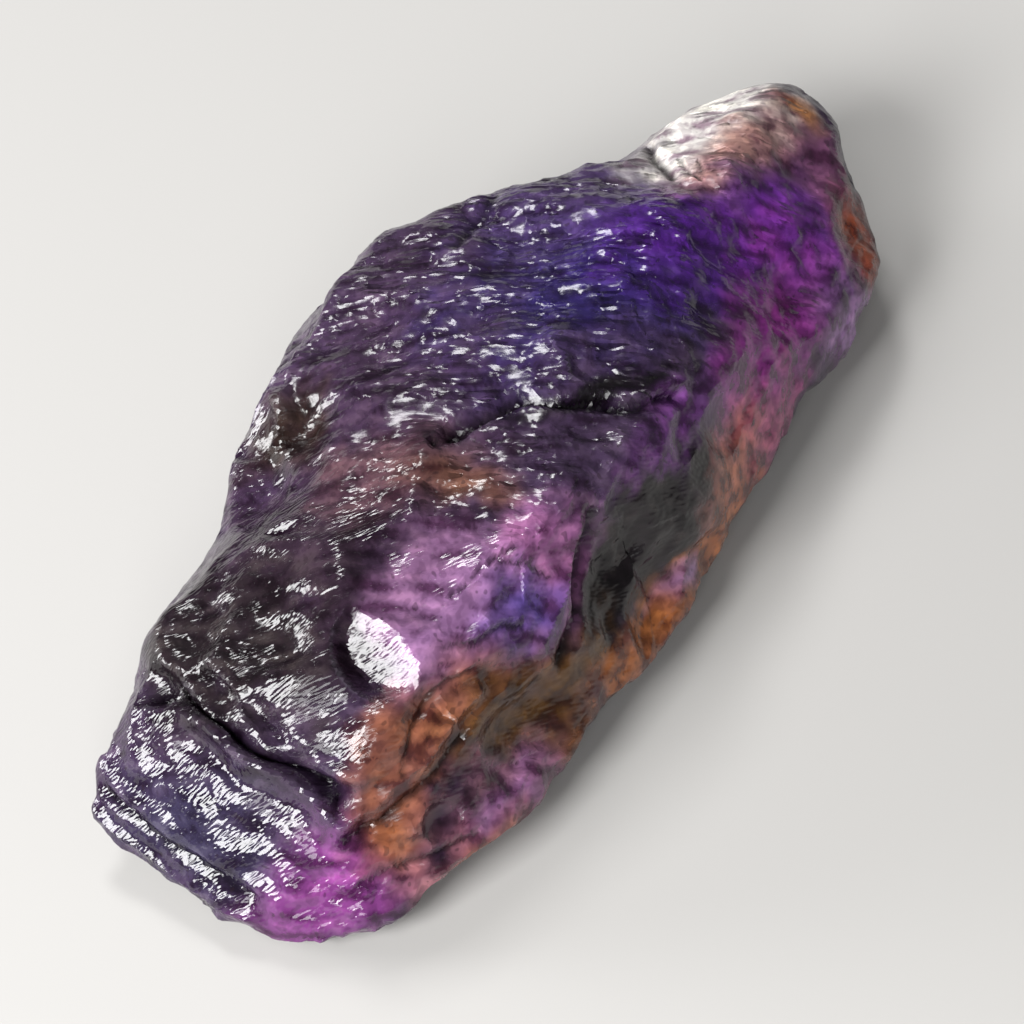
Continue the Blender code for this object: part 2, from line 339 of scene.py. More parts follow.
BULGES = (
    Bulge("low_end_rim", (-24.2, -2.2, 1.5), 6.0, (-1.3, -0.4, 0.0)),
    Bulge("left_end_corner", (-23.6, 3.6, 3.8), 5.0, (-0.9, 0.7, 0.0)),
    Bulge("tip_crown", (24.0, 2.0, 8.6), 5.0, (-0.4, -0.3, -0.7)),
    Bulge("tip_side", (23.4, -6.4, 4.4), 3.0, (-0.3, 0.6, 0.0)),
    Bulge("left_shoulder", (0.0, 11.3, 6.6), 5.0, (0.0, -1.0, -0.1)),
    Bulge("back_shoulder", (9.5, 8.2, 9.0), 4.0, (0.0, -0.5, -0.3)),
    Bulge("bevel_notch", (-9.5, -10.8, 2.2), 3.0, (0.1, -0.5, 0.0)),
    Bulge("near_left", (-17.5, 5.4, 5.2), 6.5, (-0.3, 0.75, 0.0)),
    Bulge("left_waist", (-8.5, 7.4, 6.0), 6.5, (-0.1, 0.75, 0.1)),
    Bulge("left_spur", (-18.4, 7.2, 5.2), 2.0, (0.3, -0.7, 0.0)),
)

FLAKES = (
    Flake("bright_facet", (-15.4, -5.0, 10.8), (-170, 46), 2.6, 0.95, 60.0, 1.4),
    Flake("left_strip", (-4.6, 9.7, 7.2), (152, 43), 1.9, 0.35, 20.0, 1.2),
    Flake("left_strip_low", (-7.0, 8.3, 7.8), (152, 46), 1.8, 0.28, 12.0, 1.2),
    Flake("dark_facet", (-19.6, 0.6, 9.6), (150, 62), 1.9, 0.22, 30.0),
    Flake("brow_facet", (-17.6, 1.4, 10.2), (-166, 48), 1.8, 0.45, 60.0),
    Flake("low_glint", (-18.4, -4.0, 9.7), (-166, 47), 1.3, 0.3, 12.0, 2.0),
    Flake("mid_glint", (-16.6, -1.2, 10.9), (-163, 48), 1.2, 0.3, 10.0, 1.6),
    Flake("upper_glint", (-12.0, 3.4, 10.7), (-170, 48), 1.4, 0.35, 40.0, 1.3),
    Flake("left_facet", (-18.4, 4.4, 8.6), (128, 58), 1.9, 0.2, 30.0),
    Flake("end_facet", (-22.9, -0.6, 7.2), (-176, 50), 1.7, 0.2, 40.0, 1.3),
    Flake("end_glassy", (-23.4, -4.4, 5.2), (-160, 44), 1.4, 0.2, 9.0),
    Flake("window", (-6.7, -2.5, 12.3), (-128, 72), 2.3, 0.35, 7.5, 1.7),
    Flake("bright_shell", (2.3, -4.0, 12.0), (-160, 62), 1.1, 0.22, 2.4, 1.5),
    Flake("chip_shell_a", (-3.6, -1.9, 12.4), (-160, 66), 1.2, 0.25, 2.6),
    Flake("chip_shell_b", (-2.1, -3.6, 12.3), (-172, 58), 1.1, 0.25, 2.4),
    Flake("chip_shell_c", (-5.0, -0.9, 12.5), (-170, 64), 0.9, 0.2, 2.2),
    Flake("low_pit", (-19.6, -9.6, 3.9), (-110, 30), 0.9, 0.35, 1.3),
    Flake("low_pit_b", (-18.0, -9.7, 4.3), (-100, 30), 1.1, 0.35, 1.7),
)

SEAMS = (
    Seam("top_groove", ((-5.1, -0.8, 12.5), (-2.9, -1.5, 12.4), (-1.1, -2.4, 12.3), (-0.3, -4.1, 12.3),
                        (0.8, -5.5, 11.8), (1.9, -7.0, 11.5), (4.0, -7.8, 10.5)), 0.65, 0.75),
    Seam("end_ledge", ((-21.4, 4.4, 7.6), (-21.1, 3.1, 8.3), (-21.0, 1.0, 8.6), (-21.5, -1.0, 9.0),
                       (-21.5, -2.4, 8.5), (-21.4, -4.2, 8.3), (-21.5, -5.9, 7.8),
                       (-21.3, -7.0, 7.2)), 1.1, 1.2),
    Seam("side_slot", ((-21.9, 4.2, 7.4), (-21.2, 3.3, 7.9), (-20.7, 2.1, 8.7)), 0.4, 0.45),
    Seam("tip_notch", ((17.6, 3.1, 8.7), (16.7, 2.0, 9.2), (15.6, 0.3, 9.8)), 0.45, 0.4),
    Seam("tip_crack_a", ((16.9, 0.8, 9.6), (16.1, -0.3, 9.9), (15.8, -1.2, 10.2)), 0.16, 0.16),
    Seam("tip_crack_b", ((17.0, -0.2, 9.9), (16.4, -0.9, 10.1), (16.5, -1.7, 10.2)), 0.16, 0.14),
    Seam("flank_lip", ((-22.2, -7.3, 6.4), (-20.2, -8.1, 6.5), (-19.2, -8.3, 6.9), (-17.0, -8.6, 7.1),
                       (-15.1, -8.4, 7.6), (-13.2, -8.6, 7.9)), 0.5, -0.35),
    Seam("flank_lip_shadow", ((-22.2, -7.7, 5.6), (-20.2, -8.6, 5.7), (-19.2, -8.8, 6.1),
                              (-17.0, -9.1, 6.4), (-15.1, -9.0, 6.9)), 0.5, 0.3),
    Seam("hollow_edge", ((-4.2, -7.8, 10.8), (-5.6, -8.3, 9.4), (-7.4, -8.9, 8.3),
                         (-9.6, -9.4, 7.6)), 0.6, -0.3),
    Seam("hollow_wall", ((-3.6, -8.1, 10.0), (-4.8, -8.8, 8.6), (-6.6, -9.4, 7.4),
                         (-8.8, -9.9, 6.4)), 0.7, 0.5),
    Seam("end_rim", ((-25.0, 4.4, 2.6), (-25.3, 1.5, 2.1), (-25.1, -1.6, 1.8),
                     (-25.2, -4.6, 1.4)), 0.5, -0.3),
    Seam("end_rim_groove", ((-24.9, 4.0, 3.9), (-24.9, 1.3, 3.2), (-24.7, -1.6, 2.9),
                            (-24.8, -4.4, 2.4)), 0.5, 0.35),
    Seam("side_notch", ((10.7, 6.9, 9.6), (8.4, 6.3, 9.9), (5.7, 5.9, 10.8)), 0.6, 0.25),
    Seam("pink_crack_a", ((-13.4, -7.2, 10.2), (-12.2, -7.6, 9.6), (-10.6, -7.9, 9.4),
                          (-9.8, -8.2, 8.6)), 0.28, 0.16),
    Seam("pink_crack_b", ((-8.8, -6.8, 11.2), (-7.8, -7.4, 10.4), (-7.2, -8.0, 9.2)), 0.24, 0.14),
    Seam("orange_crack", ((-18.4, -8.2, 7.0), (-16.8, -7.6, 8.2), (-14.8, -7.4, 8.8),
                          (-13.0, -8.0, 8.8)), 0.24, 0.12),
    Seam("low_crack", ((-22.4, -8.6, 3.6), (-20.6, -9.6, 3.8), (-18.6, -10.2, 3.2),
                       (-16.8, -10.9, 3.0)), 0.26, 0.16),
    Seam("flank_crack", ((-11.6, -5.9, 11.6), (-9.7, -6.4, 11.9), (-7.8, -7.0, 11.4)), 0.3, 0.25),
    Seam("orange_lip", ((-20.9, -8.4, 5.6), (-22.1, -7.9, 5.4)), 0.3, 0.2),
)

# Clouds of colour. The violet, magenta, pink, lilac, salmon, red and orange clouds on the flank, along its
# lower edges and at the low end are partly the quartz's own purple and orange and partly painted glow: light
# that comes through the stone, painted as lighter, milkier colour.
CLOUDS = (
    Cloud("top_plum", (-1.0, 4.0, 11.0), (13.0, 7.0, 5.0), (0.052, 0.026, 0.062), milk=0.8),
    Cloud("near_plum", (-12.0, 1.0, 10.5), (9.0, 7.0, 5.0), (0.036, 0.017, 0.036), milk=0.8),
    Cloud("near_dark", (-18.0, 1.5, 8.8), (6.2, 6.5, 5.0), (0.016, 0.010, 0.013), milk=0.9),
    Cloud("top_indigo", (7.5, -0.8, 11.5), (8.0, 5.5, 4.0), (0.026, 0.015, 0.115), (0, 0, -25), milk=0.7),
    Cloud("upper_violet", (13.0, -3.4, 9.6), (7.0, 4.4, 3.6), (0.12, 0.02, 0.34), (0, 0, -25), milk=0.45),
    Cloud("violet_glow", (16.8, -5.4, 8.2), (4.4, 3.2, 3.2), (0.25, 0.04, 0.50), milk=0.4),
    Cloud("slope_violet", (12.0, 3.8, 8.8), (5.0, 4.0, 4.0), (0.10, 0.055, 0.18)),
    Cloud("magenta_band", (11.4, -8.2, 6.8), (6.0, 2.8, 3.6), (0.40, 0.045, 0.38), (0, 0, 12), milk=0.5),
    Cloud("pink_edge", (8.4, -9.8, 4.6), (4.2, 1.9, 2.8), (0.58, 0.12, 0.28), milk=0.55),
    Cloud("salmon_edge", (4.4, -10.5, 4.2), (4.2, 1.8, 3.0), (0.64, 0.20, 0.11), milk=0.6),
    Cloud("lilac_tip", (17.9, -9.0, 3.4), (2.4, 1.8, 2.2), (0.46, 0.22, 0.56), milk=0.6),
    Cloud("red_edge", (21.6, -6.8, 5.4), (1.9, 2.8, 3.0), (0.42, 0.09, 0.035), milk=0.6),
    Cloud("purple_tip", (21.0, -4.2, 7.6), (2.6, 2.6, 2.4), (0.24, 0.08, 0.19)),
    Cloud("pink_brown_tip", (19.0, -1.6, 9.8), (4.0, 2.8, 2.2), (0.36, 0.19, 0.17), milk=0.8),
    Cloud("milky_tip", (20.8, 1.6, 9.4), (4.6, 2.8, 2.8), (0.66, 0.63, 0.60), milk=1.0, heart=0.6),
    Cloud("orange_tip", (22.9, -1.3, 8.9), (1.0, 1.5, 1.3), (0.50, 0.21, 0.08), milk=0.8),
    Cloud("rosy_top", (-8.0, 0.4, 12.0), (4.8, 2.8, 2.2), (0.15, 0.07, 0.09), (0, 0, -50), milk=0.5),
    Cloud("brown_window", (-6.7, -2.5, 12.1), (2.8, 1.5, 1.6), (0.20, 0.085, 0.06), (0, 0, -50), milk=0.5),
    Cloud("brown_side", (-6.4, 7.0, 9.2), (2.2, 2.0, 2.0), (0.05, 0.025, 0.02), milk=0.3),
    # Near-black painted shade along the top groove.
    Cloud("groove_dark", (0.9, -5.4, 12.0), (4.2, 0.55, 1.4), (0.012, 0.007, 0.012), (0, 0, -47), milk=0.3),
    Cloud("crest_violet", (1.4, -8.7, 9.6), (3.8, 1.7, 2.2), (0.32, 0.09, 0.44)),
    Cloud("crest_pink", (-12.2, -4.6, 11.7), (3.2, 2.2, 1.8), (0.36, 0.17, 0.35), milk=0.5),
    Cloud("flank_pink", (-7.0, -7.6, 9.9), (3.4, 2.0, 3.0), (0.48, 0.17, 0.42), milk=0.5),
    Cloud("flank_lilac", (-12.4, -6.9, 10.4), (3.2, 2.0, 2.4), (0.46, 0.22, 0.48), milk=0.5),
    Cloud("flank_blue", (-9.8, -7.9, 9.3), (1.8, 1.4, 1.7), (0.18, 0.11, 0.52), milk=0.45),
    Cloud("flank_orange", (-15.2, -8.2, 7.8), (5.2, 2.2, 2.6), (0.42, 0.14, 0.07), milk=0.5, strength=0.9),
    # Near-black, opaque painted shade in the flank's hollow.
    Cloud("hollow_dark", (-1.6, -9.6, 6.8), (5.0, 2.6, 3.2), (0.008, 0.005, 0.007), (0, 12, 0), milk=1.0,
          heart=0.85),
    Cloud("hollow_amber", (-11.2, -10.0, 5.2), (5.2, 2.4, 3.0), (0.17, 0.072, 0.012), milk=0.45, heart=0.4),
    Cloud("bevel_orange", (-0.6, -11.4, 2.6), (9.0, 1.7, 1.7), (0.52, 0.17, 0.05), (0, 8, 0), milk=0.55),
    Cloud("bevel_lilac", (-1.0, -11.3, 3.3), (1.5, 1.0, 0.9), (0.46, 0.24, 0.50), milk=0.6),
    Cloud("low_magenta", (-23.2, -7.2, 3.2), (3.6, 3.0, 3.2), (0.34, 0.07, 0.34), milk=0.5),
    Cloud("low_lilac", (-14.6, -11.0, 3.0), (3.4, 2.0, 2.0), (0.44, 0.19, 0.44), milk=0.5),
    Cloud("low_pink", (-18.8, -10.2, 3.0), (3.2, 2.2, 2.4), (0.56, 0.21, 0.27), milk=0.55),
    Cloud("low_orange", (-20.4, -8.7, 5.0), (2.8, 1.8, 2.0), (0.50, 0.16, 0.05), milk=0.5, strength=0.85),
    Cloud("low_amber", (-15.4, -11.3, 2.2), (3.4, 1.6, 1.3), (0.44, 0.15, 0.05), milk=0.5, strength=0.8),
    # Dark painted shade in the two pits on the low flank.
    Cloud("pit_upper", (-17.3, -9.9, 4.7), (2.1, 1.1, 1.1), (0.045, 0.018, 0.045), milk=0.6),
    Cloud("pit_lower", (-18.9, -10.4, 3.5), (1.3, 1.1, 0.9), (0.05, 0.02, 0.05), milk=0.6),
    Cloud("end_indigo", (-24.4, 0.0, 4.6), (2.4, 5.8, 4.2), (0.034, 0.027, 0.062), milk=0.75),
)


def waves(points: np.ndarray, scale: float, shift: float) -> np.ndarray:
    """Reads smooth noise at many places.

    Args:
        points: The places.
        scale: Waves to a millimetre.
        shift: How far the noise is moved, so that two readings differ.

    Returns:
        One value from about -1 to 1 for each place.
    """
    return np.array([noise.noise(Vector(point)) for point in points * scale + shift])


def layered(points: np.ndarray, scale: float, shift: float) -> np.ndarray:
    """Reads smooth noise with a finer layer on it."""
    finer, further, height = FINER
    return waves(points, scale, shift) + waves(points, scale * finer, shift + further) * height


class Tint:
    """The clouds of colour, and the streaks and shade across them, read at many places at once.

    Args:
        points: The places in millimetres.
    """

    def __init__(self, points: np.ndarray) -> None:
        broad = np.stack([waves(points, BROAD_WAVES, shift) for shift in BROAD_SHIFTS], axis=1)
        fine = np.stack([waves(points, FINE_WAVES, shift) for shift in FINE_SHIFTS], axis=1)
        self.bent = points + broad * BEND[0] + fine * BEND[1]
        self.sway = broad * SWAY[0] + fine * SWAY[1]
        self.frayed = sum(waves(points, scale, shift) * height for scale, shift, height in FRAY)
        turned = points @ np.array(Euler((0.0, 0.0, math.radians(STREAK_TURN))).to_matrix())
        self.streaks = layered(turned / np.array(STREAK), 1.0, STREAK_SHIFT)

    def laid(self, body: Colour, milk: float) -> np.ndarray:
        """Lays every cloud over the body colour, then the pale streaks and the dark shade.

        Args:
            body: The colour where there is no cloud.
            milk: How milky the quartz is there.

        Returns:
            For each place its red, green, blue and milkiness.
        """
        colours = np.tile(np.array((*body, milk)), (len(self.bent), 1))
        for cloud in CLOUDS:
            turned = np.array(Euler([math.radians(angle) for angle in cloud.turn]).to_matrix())
            local = ((self.bent - np.array(cloud.centre)) @ turned) / np.array(cloud.radii)
            far = np.linalg.norm(local, axis=1) + self.frayed
            share = (1.0 - smooth_step(far, cloud.heart, CLOUD_END)) * cloud.strength
            colours += (np.array((*cloud.colour, cloud.milk)) - colours) * share[:, None]
        pale = smooth_step(self.streaks, *STREAK_SPAN)[:, None] * np.array(STREAK_COLOUR)
        dark = smooth_step(-self.streaks, *SHADE_SPAN)[:, None] * (1.0 - np.array(SHADE_COLOUR))
        colours[:, :3] = (colours[:, :3] * (1.0 + pale) + pale * STREAK_HAZE) * (1.0 - dark)
        return colours


class BrokenSurface:
    """The skin of the stone as loose points in millimetres, which scars and seams move.

    Args:
        mesh: The mesh whose points are moved. Its normals are taken as the stone's smooth ones.
    """

    def __init__(self, mesh: Mesh) -> None:
        self.mesh = mesh
        count = len(mesh.vertices)
        flat = np.empty(count * 3, np.float32)
        mesh.vertices.foreach_get("co", flat)
        self.points = flat.reshape(-1, 3).astype(float) / MM
        ends = np.empty(len(mesh.edges) * 2, np.int32)
        mesh.edges.foreach_get("vertices", ends)
        self.edges = ends.reshape(-1, 2)
        self.valence = np.bincount(ends, minlength=count).astype(float)
        self.normals = self.smooth_normals()
        self.order = np.argsort(self.points[:, 0], kind="stable")
        self.sorted_x = self.points[self.order, 0]
        self.zones = self.zone_shares()
        self.polish = np.zeros(count)
        self.seam_painted_shade = np.zeros(count)
        self.whole = self.points.copy()

    def smooth_normals(self) -> np.ndarray:
        """Gives each point the mean normal of the faces around it, smoothed over its neighbours.

        Returns:
            One unit vector for each point.
        """
        self.mesh.calc_loop_triangles()
        corners = np.empty(len(self.mesh.loop_triangles) * 3, np.int32)
        self.mesh.loop_triangles.foreach_get("vertices", corners)
        corners = corners.reshape(-1, 3)
        a, b, c = (self.points[corners[:, i]] for i in range(3))
        across = np.cross(b - a, c - a)
        normals = np.zeros_like(self.points)
        for corner in range(3):
            normals += self.gather(corners[:, corner], across)
        normals = unit(normals)
        for _ in range(NORMAL_SMOOTHING):
            normals = unit(self.neighbour_mean(normals))
        return normals

    def gather(self, numbers: np.ndarray, values: np.ndarray) -> np.ndarray:
        """Adds up vectors by the point that each belongs to.

        Args:
            numbers: The points' numbers.
            values: One vector for each number.

        Returns:
            One sum for each point.
        """
        count = len(self.points)
        return np.stack([np.bincount(numbers, values[:, axis], count) for axis in range(3)], axis=1)

    def neighbour_mean(self, values: np.ndarray) -> np.ndarray:
        """Averages vectors over each point's neighbours.

        Args:
            values: One vector for each point.

        Returns:
            The means.
        """
        one, other = self.edges[:, 0], self.edges[:, 1]
        total = self.gather(one, values[other]) + self.gather(other, values[one])
        return total / self.valence[:, None]

    def zone_shares(self) -> dict[Zone, np.ndarray]:
        """Tells how far each point belongs to each zone.

        Returns:
            For each zone a share from 0 to 1 for each point.
        """
        x = self.points[:, 0]
        n = self.normals
        sole = smooth_step(-n[:, 2], *SOLE_DOWNWARD) * smooth_step(-self.points[:, 2], *SOLE_LEVEL)
        end = smooth_step(-x, *END_SPAN) * smooth_step(n[:, 2], *END_UPWARD)
        cap = smooth_step(x, *CAP_SPAN) * smooth_step(n[:, 1], *CAP_FACING) * (1.0 - sole)
        flank = smooth_step(-n[:, 1], *FLANK_FACING) * smooth_step(n[:, 2], *FLANK_UPWARD) * (1.0 - end)
        up = smooth_step(n[:, 2], *TOP_UPWARD) * (1.0 - flank) * (1.0 - end)
        nearness = smooth_step(-x, *NEAR_SPAN)
        near = up * nearness
        top = up * (1.0 - nearness) * (1.0 - cap)
        back = np.clip(1.0 - end - cap - flank - up - sole, 0.0, 1.0)
        return {Zone.END: end, Zone.NEAR: near, Zone.TOP: top, Zone.FLANK: flank, Zone.CAP: cap,
                Zone.BACK: back, Zone.SOLE: sole}

    def around(self, centre: np.ndarray, reach: float) -> np.ndarray:
        """Finds the points within reach of a place.

        Args:
            centre: The place.
            reach: How far to look.

        Returns:
            The points' numbers.
        """
        low, high = np.searchsorted(self.sorted_x, (centre[0] - reach, centre[0] + reach))
        near = self.order[low:high]
        return near[((self.points[near] - centre) ** 2).sum(1) < reach * reach]

    def bite(self, centre: np.ndarray, facing: np.ndarray, depth: float, curve: float, stretch: float,
             reach: float, shave: bool) -> None:
        """Cuts one bowl into the surface.

        Args:
            centre: The place on the surface that is struck.
            facing: The unit vector that the bowl opens towards.
            depth: How deep the bowl goes.
            curve: The bowl's radius.
            stretch: How many times longer than wide the bowl is.
            reach: How far from centre points may move.
            shave: Whether the bowl sits on the highest ground in reach, and not under centre.
        """
        near = self.around(centre, reach)
        if shave and len(near):
            centre = self.points[near[np.argmax(self.points[near] @ facing)]].copy()
            near = self.around(centre, reach)
        offset = self.points[near] - (centre - facing * depth)
        flow = SPLIT if facing[2] > UPWARD else FLANK_FLOW
        flow = unit(flow - facing * flow.dot(facing))
        height = offset @ facing
        along = offset @ flow
        across_squared = np.maximum((offset**2).sum(1) - height**2 - along**2, 0.0)
        cut = height - (across_squared + (along / stretch) ** 2) / (2.0 * curve)
        fade = np.clip(FADE - FADE * (offset**2).sum(1) / (reach * reach), 0.0, 1.0)
        self.points[near] -= (np.clip(cut, 0.0, depth * DEEPEST_CUT) * fade)[:, None] * facing

    def strike(self, layer: Strikes, shave: bool) -> None:
        """Strikes one layer of random scars.

        Args:
            layer: The layer.
            shave: Whether they only take the high ground.
        """
        draw = np.random.default_rng(layer.seed)
        weight = sum(self.zones[zone] * share for zone, share in layer.shares.items())
        if Zone.SOLE not in layer.shares:
            weight = weight * (self.points[:, 2] > FOOT)
        chosen = draw.choice(len(self.points), layer.count, p=weight / weight.sum())
        lean = math.tan(math.radians(layer.lean))
        for number in chosen:
            swing = draw.normal(size=3) * lean * SWING
            towards = self.normals[number]
            if draw.random() < layer.glint and towards @ GLINT_FACING > GLINT_NEAR:
                towards = GLINT_FACING
                swing *= GLINT_STEADY
            facing = unit(towards + swing)
            depth = draw.uniform(*layer.depth)
            curve = draw.uniform(*layer.curve)
            reach = math.sqrt(2.0 * curve * depth) * REACH_SPARE * layer.stretch
            self.bite(self.points[number].copy(), facing, depth, curve, layer.stretch, reach, shave)

    def flake(self, flake: Flake) -> None:
        """Cuts one named scar and notes where it leaves a clean break.

        Args:
            flake: The scar.
        """
        before = self.points.copy()
        facing = direction(*flake.facing)
        self.bite(np.array(flake.centre), facing, flake.depth, flake.curve, flake.stretch, flake.reach, False)
        self.polish[np.linalg.norm(self.points - before, axis=1) > POLISHED_CUT] = 1.0

    def swell(self, by: float) -> None:
        """Moves the skin out, so that the scars bring it back to the solid's size, and adds the bulges.

        Args:
            by: How far.
        """
        self.points += self.normals * by * (1.0 - self.zones[Zone.SOLE])[:, None]
        for bulge in BULGES:
            gap = np.linalg.norm(self.points - np.array(bulge.centre), axis=1)
            share = 1.0 - smooth_step(gap, 0.0, bulge.reach)
            self.points += share[:, None] * np.array(bulge.push)
        self.whole = self.points.copy()

    def restrain(self, limit: float) -> None:
        """Softly limits how far the scars have taken the skin from its whole form.

        Args:
            limit: The furthest that any point may have moved.
        """
        moved = self.points - self.whole
        far = np.linalg.norm(moved, axis=1)
        share = limit * np.tanh(far / limit) / np.maximum(far, STILL)
        self.points = self.whole + moved * share[:, None]

    def calm(self, share: float) -> None:
        """Moves each point part of the way to the middle of its neighbours."""
        self.points += (self.neighbour_mean(self.points) - self.points) * share

    def seam(self, seam: Seam) -> None:
        """Cuts or raises one line, and marks where a cut one gets painted shade.

        Args:
            seam: The line.
        """
        nodes = np.array(seam.points)
        closest = np.full(len(self.points), FAR_OFF)
        for start, end in zip(nodes, nodes[1:]):
            run = end - start
            share = np.clip(((self.points - start) @ run) / run.dot(run), 0.0, 1.0)
            apart = self.points - (start + share[:, None] * run)
            above = (apart * self.normals).sum(1)
            level = np.linalg.norm(apart - self.normals * above[:, None], axis=1)
            closest = np.minimum(closest, np.where(np.abs(above) < SEAM_HEIGHT, level, FAR_OFF))
        shape = np.clip(1.0 - closest / seam.width, 0.0, 1.0)
        self.points -= self.normals * (shape**SEAM_SHARPNESS * seam.depth)[:, None]
        # A cut seam gets painted shade along its middle.
        if seam.depth > 0.0:
            self.seam_painted_shade = np.maximum(self.seam_painted_shade, smooth_step(shape, *PAINTED_SHADE_EDGE))

    def curvature(self) -> np.ndarray:
        """Tells how far each point stands out of its neighbours, in voxels: positive on ridges."""
        return ((self.points - self.neighbour_mean(self.points)) * self.normals).sum(1) / VOXEL

    def write(self, body: Colour, milk: float) -> None:
        """Puts the points back in the mesh, with zones, ridges, patches, colours and milk as attributes.

        Args:
            body: The quartz's colour where no cloud lies.
            milk: How milky it is there.
        """
        tints = Tint(self.points)
        colours = tints.laid(body, milk)
        # Painted shade darkens the colour along the cut seams.
        colours[:, :3] *= 1.0 - PAINTED_SEAM_SHADE * self.seam_painted_shade[:, None]
        shares = {zone.value: share for zone, share in self.zones.items()}
        shares["ridge"] = self.curvature()
        shares["polish"] = self.polish
        shares["patch"] = 0.5 + 0.5 * layered(self.points, PATCH_WAVES, PATCH_SHIFT)
        shares["milk"] = colours[:, 3].copy()
        colours[:, 3] = 1.0
        for name, values in shares.items():
            attribute = self.mesh.attributes.new(name, "FLOAT", "POINT")
            attribute.data.foreach_set("value", values.astype(np.float32))
        sway = self.mesh.attributes.new("sway", "FLOAT_VECTOR", "POINT")
        sway.data.foreach_set("vector", tints.sway.astype(np.float32).ravel())
        tint = self.mesh.attributes.new("tint", "FLOAT_COLOR", "POINT")
        tint.data.foreach_set("color", colours.astype(np.float32).ravel())
        low, high = (np.array(corner) / MM for corner in CAD_BOX)
        spare = np.array((BOX_SPARE, BOX_SPARE, 0.0))
        self.points = np.clip(self.points, low - spare, high + spare)
        self.mesh.vertices.foreach_set("co", (self.points * MM).astype(np.float32).ravel())
        self.mesh.update()


Number = "float | Wire"


class Wire:
    """An output socket, on which Python's operators add Math nodes."""

    def __init__(self, board: "Board", socket: NodeSocket) -> None:
        self.board = board
        self.socket = socket

    def maths(self, operation: str, one: Number, other: Number) -> "Wire":
        """Adds one Math node of two values."""
        return self.board.add("ShaderNodeMath", {"operation": operation}, {0: one, 1: other})

    def twin(self, output: str) -> "Wire":
        """Gives another output of the same node."""
        return Wire(self.board, self.socket.node.outputs[output])

    def __add__(self, other: Number) -> "Wire":
        """Adds a value."""
        return self.maths("ADD", self, other)

    def __radd__(self, other: Number) -> "Wire":
        """Is added to a value."""
        return self.maths("ADD", other, self)

    def __sub__(self, other: Number) -> "Wire":
        """Takes a value off."""
        return self.maths("SUBTRACT", self, other)

    def __rsub__(self, other: Number) -> "Wire":
        """Is taken off a value."""
        return self.maths("SUBTRACT", other, self)

    def __mul__(self, other: Number) -> "Wire":
        """Multiplies by a value."""
        return self.maths("MULTIPLY", self, other)

    def __rmul__(self, other: Number) -> "Wire":
        """Multiplies a value."""
        return self.maths("MULTIPLY", other, self)


class Board:
    """The node tree of one material, built by a few plain calls.

    Args:
        name: The material's name.
    """

    def __init__(self, name: str) -> None:
        self.material = bpy.data.materials.new(name)
        self.material.use_nodes = True
        self.tree = self.material.node_tree
        self.tree.nodes.clear()

    def add(self, kind: str, settings: dict[str, object], inputs: dict[int | str, object],
            output: int | str | None = 0) -> Wire | None:
        """Adds a node, sets it up and wires it.

        Args:
            kind: The node's type.
            settings: The node's own settings, which are set first.
            inputs: Values or wires for its sockets.
            output: The socket to hand back, or None where the node has none.

        Returns:
            The output's wire.
        """
        node = self.tree.nodes.new(kind)
        for name, value in settings.items():
            setattr(node, name, value)
        for name, value in inputs.items():
            if isinstance(value, Wire):
                self.tree.links.new(value.socket, node.inputs[name])
            else:
                node.inputs[name].default_value = value
        return None if output is None else Wire(self, node.outputs[output])

    def share(self, name: str) -> Wire:
        """Reads one of the mesh's own attributes."""
        return self.add("ShaderNodeAttribute", {"attribute_name": name}, {}, "Fac")

    def vector(self, operation: str, one: object, other: object, output: int | str = 0) -> Wire:
        """Adds one Vector Math node."""
        return self.add("ShaderNodeVectorMath", {"operation": operation}, {0: one, 1: other}, output)

    def place(self) -> Wire:
        """Gives the place on the stone in millimetres."""
        where = self.add("ShaderNodeTexCoord", {}, {}, "Object")
        return self.vector("MULTIPLY", where, (1.0 / MM, 1.0 / MM, 1.0 / MM))

    def zones(self, weights: dict[Zone, float]) -> Wire:
        """Adds up the shares of some zones, each by its own weight."""
        first, *others = (self.share(zone.value) * weight for zone, weight in weights.items())
        return sum(others, first)

    def cells(self, where: Wire, turn: float, size: Point) -> Wire:
        """Measures a place in cells of a size that are turned about Z by some degrees."""
        return self.add("ShaderNodeMapping", {"vector_type": "TEXTURE"},
                        {"Vector": where, "Rotation": (0.0, 0.0, math.radians(turn)), "Scale": size})

    def noise(self, where: Wire, scale: float) -> Wire:
        """Adds a noise texture of one octave."""
        return self.add("ShaderNodeTexNoise", {}, {"Vector": where, "Scale": scale, "Detail": 0.0})

    def ramp(self, value: Wire, low: float, high: float, start: float = 0.0, end: float = 1.0) -> Wire:
        """Maps low..high smoothly to start..end and holds it there outside."""
        inputs = {"Value": value, "From Min": low, "From Max": high, "To Min": start, "To Max": end}
        return self.add("ShaderNodeMapRange", {"interpolation_type": "SMOOTHSTEP"}, inputs)

    def blend(self, share: Number, one: object, other: object, how: str = "MIX") -> Wire:
        """Mixes two colours, from one at 0 to other at 1."""
        return self.add("ShaderNodeMix", {"data_type": "RGBA", "blend_type": how},
                        {0: share, 6: one, 7: other}, 2)


def rgba(colour: Colour) -> tuple[float, float, float, float]:
    """Adds full cover to a colour."""
    return (*colour, 1.0)


@dataclass(frozen=True)
class Wash:
    """A colour that is laid over the clouds where some value lies between two ends.

    Attributes:
        span: The values at which it starts and is whole.
        cover: How far it covers what is under it.
        colour: Its colour.
        how: How it is mixed in.
    """

    span: tuple[float, float]
    cover: float
    colour: Colour
    how: str = "MIX"


